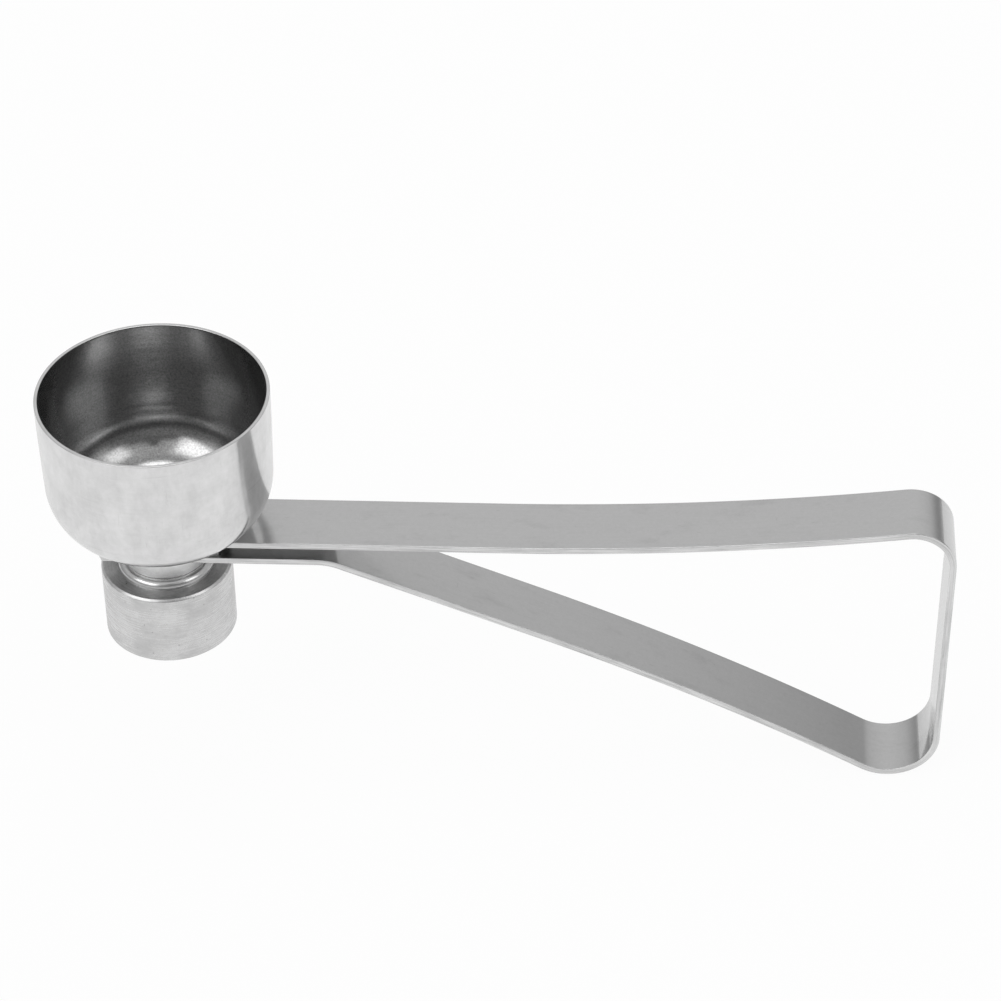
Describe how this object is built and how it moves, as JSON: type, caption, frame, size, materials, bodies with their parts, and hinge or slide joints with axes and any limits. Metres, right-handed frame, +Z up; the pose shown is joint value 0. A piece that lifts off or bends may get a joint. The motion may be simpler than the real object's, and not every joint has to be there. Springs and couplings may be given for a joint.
{
  "type": "egg topper",
  "caption": "Egg topper of steel: a bell cup on a bent spring strip, with a turned striker weight that snaps against the cup when the legs are squeezed and let go.",
  "frame": {"origin": "middle of the weight's flat end, on the cup's axis", "axes": "+X along the spring strip away from the cup, +Y across the strip, +Z up the cup's axis out of its mouth"},
  "size_m": [0.1572, 0.04, 0.0786],
  "materials": {
    "cup_steel": "satin spun stainless steel",
    "strip_steel": "fine ground stainless spring strip",
    "turned_steel": "turned stainless steel with fine tool marks",
    "fastener_steel": "plain stainless steel"
  },
  "bodies": {
    "cup_and_upper_leg": {"bell_cup": "cup_steel", "cup_rivet": "fastener_steel", "anvil_pad": "fastener_steel", "upper_leg": "strip_steel"},
    "lower_leg": {"lower_leg": "strip_steel"},
    "striker": {"striker_arm": "strip_steel", "striker_collar": "turned_steel", "striker_washer": "turned_steel", "striker_weight": "turned_steel", "striker_screw": "fastener_steel"}
  },
  "joints": [
    {"name": "handle_squeeze", "type": "hinge", "parent": "cup_and_upper_leg", "child": "lower_leg", "pos_m": [0.13587, 0, -0.01914], "axis": [0, 1, 0], "range_deg": [0, 8], "stiffness_Nm_per_rad": 12, "springref_deg": -1.72},
    {"name": "striker_lift", "type": "hinge", "parent": "lower_leg", "child": "striker", "pos_m": [0.07673, 0, -0.00188], "axis": [0, 1, 0], "range_deg": [-16, 0], "stiffness_Nm_per_rad": 3, "springref_deg": 1.15}
  ],
  "couplings": [
    {"joint": "striker_lift", "follows": "handle_squeeze", "ratio": -2}
  ]
}
